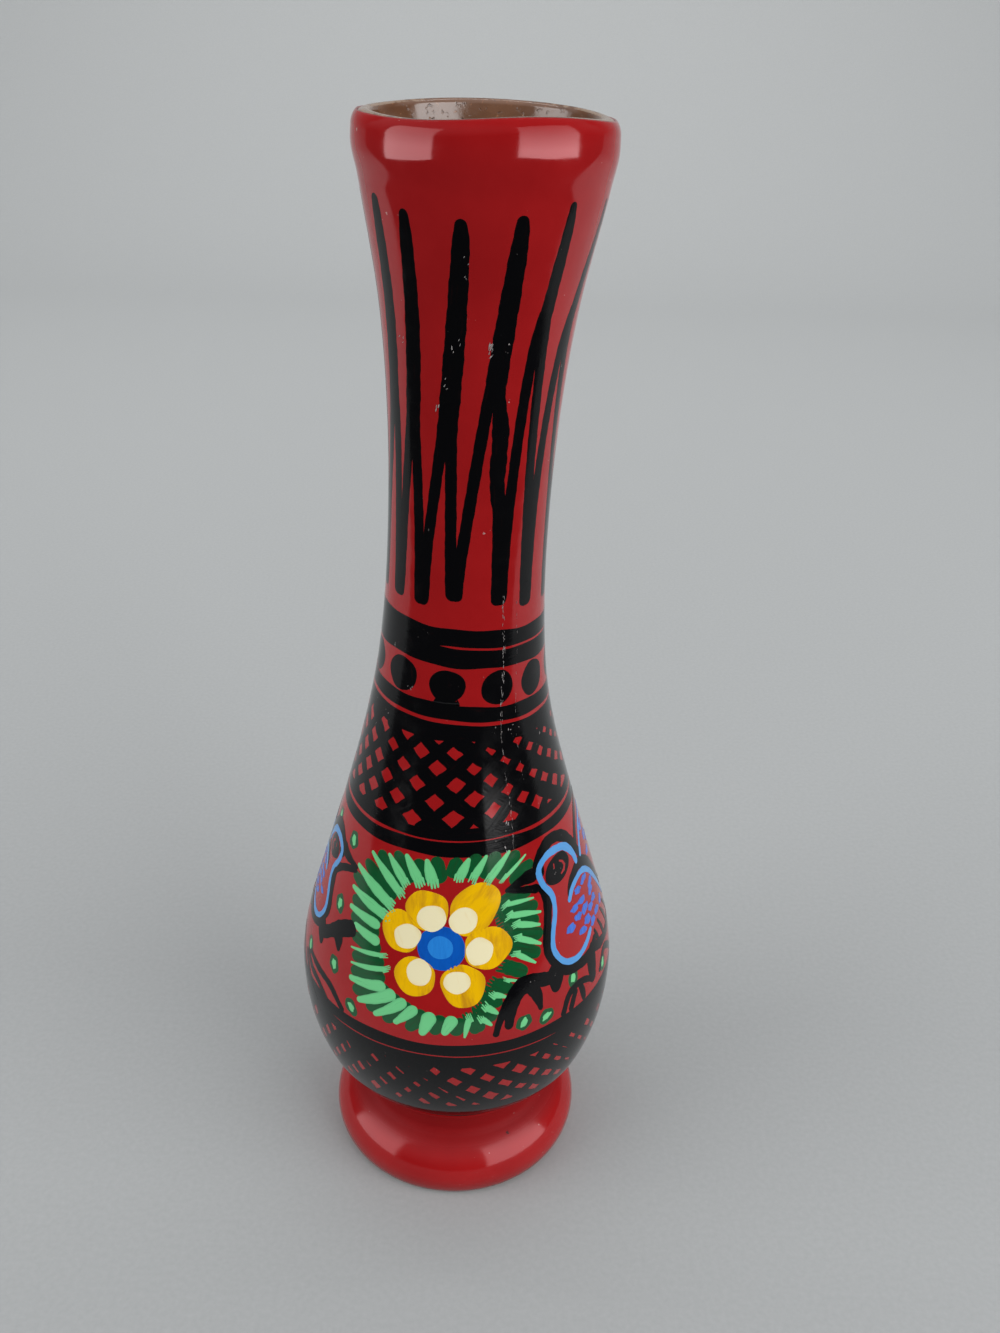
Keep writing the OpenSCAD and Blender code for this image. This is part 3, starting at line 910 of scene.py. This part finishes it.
# Where the tail's feathers begin, the angle that they spread from, and the height of their tips
FEATHERS = [(68, 73.5), (73, 74), (79, 74.5), (85, 74), (91, 75), (97, 76)]
FEATHER_FAN, FEATHER_TIP_H = 60, 67


def bird(draw):
    """A folk bird that faces the flower: black lines, a blue line inside them, a spotted wing."""
    draw.pull("black", [(41, 95), (42, 99), (50, 102), (60, 101), (68, 97), (73, 92)],
              [3, 3.2, 3, 2.8, 2.6, 2])
    breast = [(41, 94), (43, 89.5), (41, 84), (39, 79), (41, 75.5), (46, 71.5), (54, 70), (62, 70), (68, 72)]
    draw.pull("black", breast, [3, 2.6, 2.4, 2.4, 2.6, 2.8, 2.8, 2.6, 2])
    inside = [(68, 91.5), (66, 95), (60, 98.3), (52, 99.3), (46, 99), (41, 97), (42, 93.5), (46, 90),
              (46, 86), (43, 81.5), (42, 77.5), (46, 73.5), (53, 72), (60, 73), (66, 75)]
    draw.pull("sky_blue", inside,
              [1.4, 1.8, 1.9, 1.9, 1.8, 1.6, 1.6, 1.5, 1.4, 1.4, 1.4, 1.5, 1.6, 1.5, 1.4], 3)
    draw.dot("black", 53, 94.7, (4.6, 3.4), 0.03)
    draw.pull("red", [(54.5, 96.2), (57.5, 95), (57, 93.6), (54, 93)], [0.4, 0.7, 0.8, 0.4], 3)
    draw.pull("red", [(50.3, 95.2), (50.6, 96.5)], 0.35, 3)
    draw.pull("black", [(56, 86.5), (60, 89.5), (69, 91), (78, 88.5), (86, 83), (95, 75)],
              [1.4, 2.2, 2.8, 2.8, 2.4, 1.2])
    draw.pull("sky_blue", [(55, 85.5), (60, 88), (69, 88.8), (77, 86.4), (85, 80.6), (93, 73)], 1.5, 3)
    for angle, h in WING_MARKS:
        draw.dot("violet_blue", angle, h, (random.uniform(1.5, 2.1), random.uniform(0.8, 1.1)), 0.12)
    draw.pull("sky_blue", [(73, 91.5), (77, 95), (84, 98), (97, 99)], 1.3, 3)
    draw.pull("black", [(70, 94), (75, 98.5), (84, 102), (97, 103)], [1.6, 1.8, 1.8, 1.4])
    for angle, h in FEATHERS:
        tip = angle + 0.3 * (angle - FEATHER_FAN)
        middle = (0.4 * angle + 0.6 * tip, 0.5 * h + 34)
        draw.pull("black", [(angle, h), middle, (tip, FEATHER_TIP_H)], [0.7, 1.4, 1.3])
    draw.pull("black", [(64, 70), (74, 68), (88, 67), (104, 66)], [3, 2.4, 2.2, 1.2])


# Beaks, shut on the right bird and a little open on the left one: places and widths
BEAKS = [
    ([(40, 96.5), (33, 96.5), (23, 95)], [3.8, 3, 0.8]),
    ([(40, 93), (33, 94), (24, 95)], [2.4, 1.8, 0.8]),
    ([(-64, 97), (-59, 95.5), (-52, 94.8), (-48, 94.6)], [3, 2.6, 1.6, 0.9]),
    ([(-65, 89), (-61, 91), (-55, 92.8), (-48, 94)], [2.2, 2, 1.8, 1.2]),
]
# Legs, wide apart on the right bird and short on the left one
LEGS = [
    ([(66, 71), (62, 69), (61, 65.5), (60.5, 62)], [3, 4.4, 3.6, 3]),
    ([(43, 75), (42, 73), (41, 71), (40, 67.5)], [4.6, 4.8, 4.4, 2.6]),
    ([(42, 72), (37, 71.8), (32, 72.8), (27, 72.6), (23, 70.8), (19.5, 68), (17, 65), (15.5, 61.4)],
     [3.2, 3.4, 3.6, 4.4, 4, 2.6, 1.8, 1.4]),
    ([(26, 72), (22.5, 69.5), (21.2, 67), (20.2, 62.7)], [3, 3.6, 2.8, 2]),
    ([(28, 72.3), (31, 70.5), (32.3, 68), (33, 65)], [3, 3.2, 2.4, 1]),
    ([(-64, 77), (-62, 74), (-60, 70.8)], [4.2, 4, 1]),
    ([(-61, 73.5), (-55, 76.5), (-48, 79.6), (-41.5, 81.6)], [3, 3.4, 4.2, 4.4]),
    ([(-51, 77.5), (-49.5, 76), (-48.2, 73.6)], [4, 3.2, 0.8]),
]


def beaks_and_legs(films):
    for route, widths in BEAKS + LEGS:
        stroke(films["black"], route, widths, 2)


# Sprigs: angle, height and turn
SPRIGS = [
    (-77, 99.5, 20), (-55.5, 99.6, 0), (-54, 84, 8), (-68.5, 66.6, 0), (-49, 70, 15), (-37.5, 62.8, 35),
    (26, 63.4, -50), (35, 62.7, -45), (49, 68.2, -25), (70, 63, -15), (118, 98, 0), (122, 84, 15),
    (118, 66, -30), (128, 63, 40), (218, 64, -40), (222, 98, 10), (224, 84, -15), (210, 63, 35),
]
BUD_SIZE, HEART_SIZE = (1.75, 2.3), (0.8, 1.3)


def sprigs(films):
    """Small green buds with a light heart, dotted over the red ground."""
    for angle, h, turn in SPRIGS:
        dab(films["dark_green"], (angle, h), BUD_SIZE, turn, ragged=0.07)
        dab(films["light_green"], (angle, h), HEART_SIZE, turn + random.uniform(-15, 15), 1, ragged=0.12)


# Blades of grass, as four (angle, height) places each
GRASS = [
    [(-70, 66), (-59, 65), (-49, 64), (-41, 60)], [(-70, 65), (-64, 62.5), (-57, 61.5), (-50, 59)],
    [(-72, 64), (-67, 60.5), (-62, 57), (-58, 55)], [(-84, 66), (-78, 63), (-73, 60), (-70, 56)],
    [(61, 63), (53, 65.6), (46, 64.8), (42, 60)], [(52, 65.2), (53, 63.5), (53.5, 62), (54, 60)],
    [(50, 64.8), (48, 63), (47, 61.5), (46, 60)], [(66, 62), (73, 65.5), (80, 63), (85, 59)],
]
BLADE_WIDTHS = (1.4, 1.9, 1.9, 1.7)


def grass(films):
    """Arched black blades that grow from the lower band."""
    for blade in GRASS:
        stroke(films["black"], blade, BLADE_WIDTHS, 1)


# Scuffs: angle, height, spread in degrees and in millimetres, count
SCUFFS = [(-6, 226, 1.5, 4, 4), (-11, 212, 3, 2, 4), (9, 211, 1.2, 2, 12), (-46, 211, 3, 1, 3),
          (-16, 205, 2, 1.5, 3), (-22, 201, 3, 2, 3), (-33, 139, 4, 1, 3), (26, 107, 2, 4, 6)]
# Scratches, whose pale specks are partly painted glints of reflected light: angle, heights of the ends,
# spread in degrees, half a speck's width at most, count
SCRATCH_GLINTS = [(29, 163, 133, 0.9, 0.05, 70), (29, 133, 104, 0.4, 0.03, 46), (40, 161, 118, 0.3, 0.018, 30)]
# Sway of the scratches and their painted glints: degrees, radians for each millimetre, height where it is
# nought
SCRATCH_GLINT_SWAY, SCRATCH_GLINT_RATE, SCRATCH_GLINT_MIDDLE = 1.1, 0.175, 139


def scuffs_and_glints():
    """Pale specks along the long scratches, partly painted glints of reflected light, and in a few worn
    places.
    """
    film = Film("worn")
    for angle, high, low, spread, widest, count in SCRATCH_GLINTS:
        # Painted glints: the pale specks along the scratches stand in for light reflected off them
        for _ in range(count):
            h = random.uniform(low, high)
            line = angle + SCRATCH_GLINT_SWAY * math.sin(SCRATCH_GLINT_RATE * (h - SCRATCH_GLINT_MIDDLE))
            place = (line + random.uniform(-spread, spread), h)
            size = (widest * random.uniform(0.4, 1.0), random.uniform(0.1, 0.45))
            dab(film, place, size, random.uniform(-12, 12), 3, ragged=0.3, sides=10)
    for angle, h, spread, reach, count in SCUFFS:
        for _ in range(count):
            place = (angle + random.uniform(-spread, spread), h + random.uniform(-reach, reach))
            size = random.uniform(0.04, 0.11)
            dab(film, place, (size, 4 * size), random.uniform(-50, 20), 3, ragged=0.3, sides=10)
    film.piece("scuffs_and_glints", "slip")


FLOWER_ANGLE, FLOWER_H, BACK_TURN = -4, 83.3, 173
# The left bird mirrors the right one about an angle, and is smaller
MIRROR, LEFT_BIRD_SCALE = -21, 0.8
# Pieces of the scene on the belly, by colour: name and slot
SCENE_PIECES = {
    "dark_green": ("leaves_dark", "green_paint"), "light_green": ("leaves_light", "green_paint"),
    "yellow": ("petals", "yellow_paint"), "cream": ("petal_dabs", "cream_paint"),
    "deep_blue": ("flower_eyes", "blue_paint"), "pupil_blue": ("flower_pupils", "blue_paint"),
    "black": ("bird_ink", "black_paint"), "sky_blue": ("bird_lines", "blue_paint"),
    "violet_blue": ("bird_marks", "blue_paint"), "red": ("bird_eyes", "red_enamel"),
}


def painted_scene():
    """Two flowers, front and back, with two birds between them that face the front one."""
    films = {colour: Film(colour) for colour in SCENE_PIECES}
    for angle in (FLOWER_ANGLE, FLOWER_ANGLE + BACK_TURN):
        wreath(films, (angle, FLOWER_H))
        flower(films, (angle, FLOWER_H))
    bird(Drawing(films))
    bird(Drawing(films, MIRROR, LEFT_BIRD_SCALE))
    beaks_and_legs(films)
    sprigs(films)
    grass(films)
    for colour, (name, slot) in SCENE_PIECES.items():
        films[colour].piece(name, slot)


def clay_nodes():
    """Finishes of the solids that stay as they are."""
    for name, material in (("foot_ring", CLAY), ("belly", CLAY), ("neck", CLAY), ("foot_slip", SLIP),
                           ("neck_slip", SLIP), ("lip_slip", SLIP)):
        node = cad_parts[name]
        node.data.materials.clear()
        node.data.materials.append(material)


random.seed(7)
bpy.context.scene.view_settings.view_transform = "Standard"
camera()
sky()
stage()
coat()
clay_lip()
clay_nodes()
neck_strokes()
bands()
dots()
lattice("upper_lattice", UPPER_SPAN, (UPPER_FALLING, UPPER_RISING), UPPER_PITCHES)
lattice("lower_lattice", LOWER_SPAN, (LOWER_FALLING, LOWER_RISING), LOWER_PITCHES)
painted_scene()
scuffs_and_glints()
